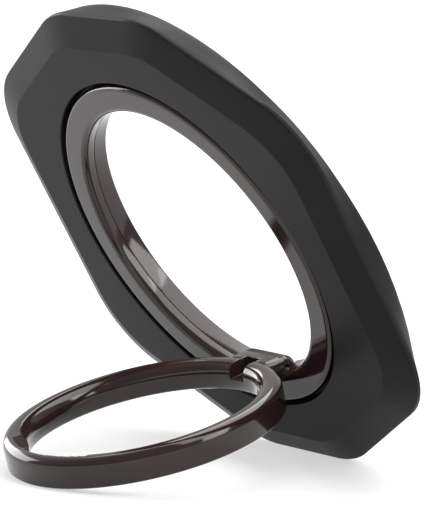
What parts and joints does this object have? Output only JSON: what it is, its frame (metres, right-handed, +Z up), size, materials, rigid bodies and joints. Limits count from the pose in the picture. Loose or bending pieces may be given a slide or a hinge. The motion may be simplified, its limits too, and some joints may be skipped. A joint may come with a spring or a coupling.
{
  "type": "phone ring holder",
  "caption": "Magnetic phone grip and stand: an eight-sided bevelled plate with a round back, a swivel ring in its front and a finger ring that hinges out as a prop.",
  "frame": {"origin": "on the floor, under the middle of the standing holder", "axes": "+Z up, +X along the finger ring's hinge, +Y from the finger ring towards the plate's back; the plate leans 30 degrees forward over the open finger ring"},
  "size_m": [0.0676, 0.046, 0.0587],
  "materials": {
    "shell_black": "fine matt moulded surface",
    "soft_black": "soft matt",
    "gunmetal": "polished warm grey metal coating",
    "steel": "bright steel",
    "magnet_nickel": "nickel-plated sintered magnet",
    "glide_plastic": "dark low-friction plastic"
  },
  "bodies": {
    "plate": {"front_shell": "shell_black", "rear_cover": "shell_black", "back_pad": "soft_black", "magnet_shunt": "steel", "glide_washer": "glide_plastic", "spring_washer": "steel", "magnet_01": "magnet_nickel", "magnet_02": "magnet_nickel", "magnet_03": "magnet_nickel", "magnet_04": "magnet_nickel", "magnet_05": "magnet_nickel", "magnet_06": "magnet_nickel", "magnet_07": "magnet_nickel", "magnet_08": "magnet_nickel", "magnet_09": "magnet_nickel", "magnet_10": "magnet_nickel", "magnet_11": "magnet_nickel", "magnet_12": "magnet_nickel", "magnet_13": "magnet_nickel", "magnet_14": "magnet_nickel", "magnet_15": "magnet_nickel", "magnet_16": "magnet_nickel"},
    "swivel": {"swivel_bezel": "gunmetal", "swivel_hub": "gunmetal", "hinge_pin": "steel"},
    "finger_loop": {"finger_ring": "gunmetal", "hinge_sleeve": "glide_plastic"}
  },
  "joints": [
    {"name": "swivel_turn", "type": "hinge", "parent": "plate", "child": "swivel", "pos_m": [0, 0.00255, 0.02794], "axis": [0, -0.866, -0.5], "continuous": true},
    {"name": "finger_ring_fold", "type": "hinge", "parent": "swivel", "child": "finger_loop", "pos_m": [0, 0.01361, 0.01158], "axis": [1, 0, 0], "range_deg": [-75, 20]}
  ]
}
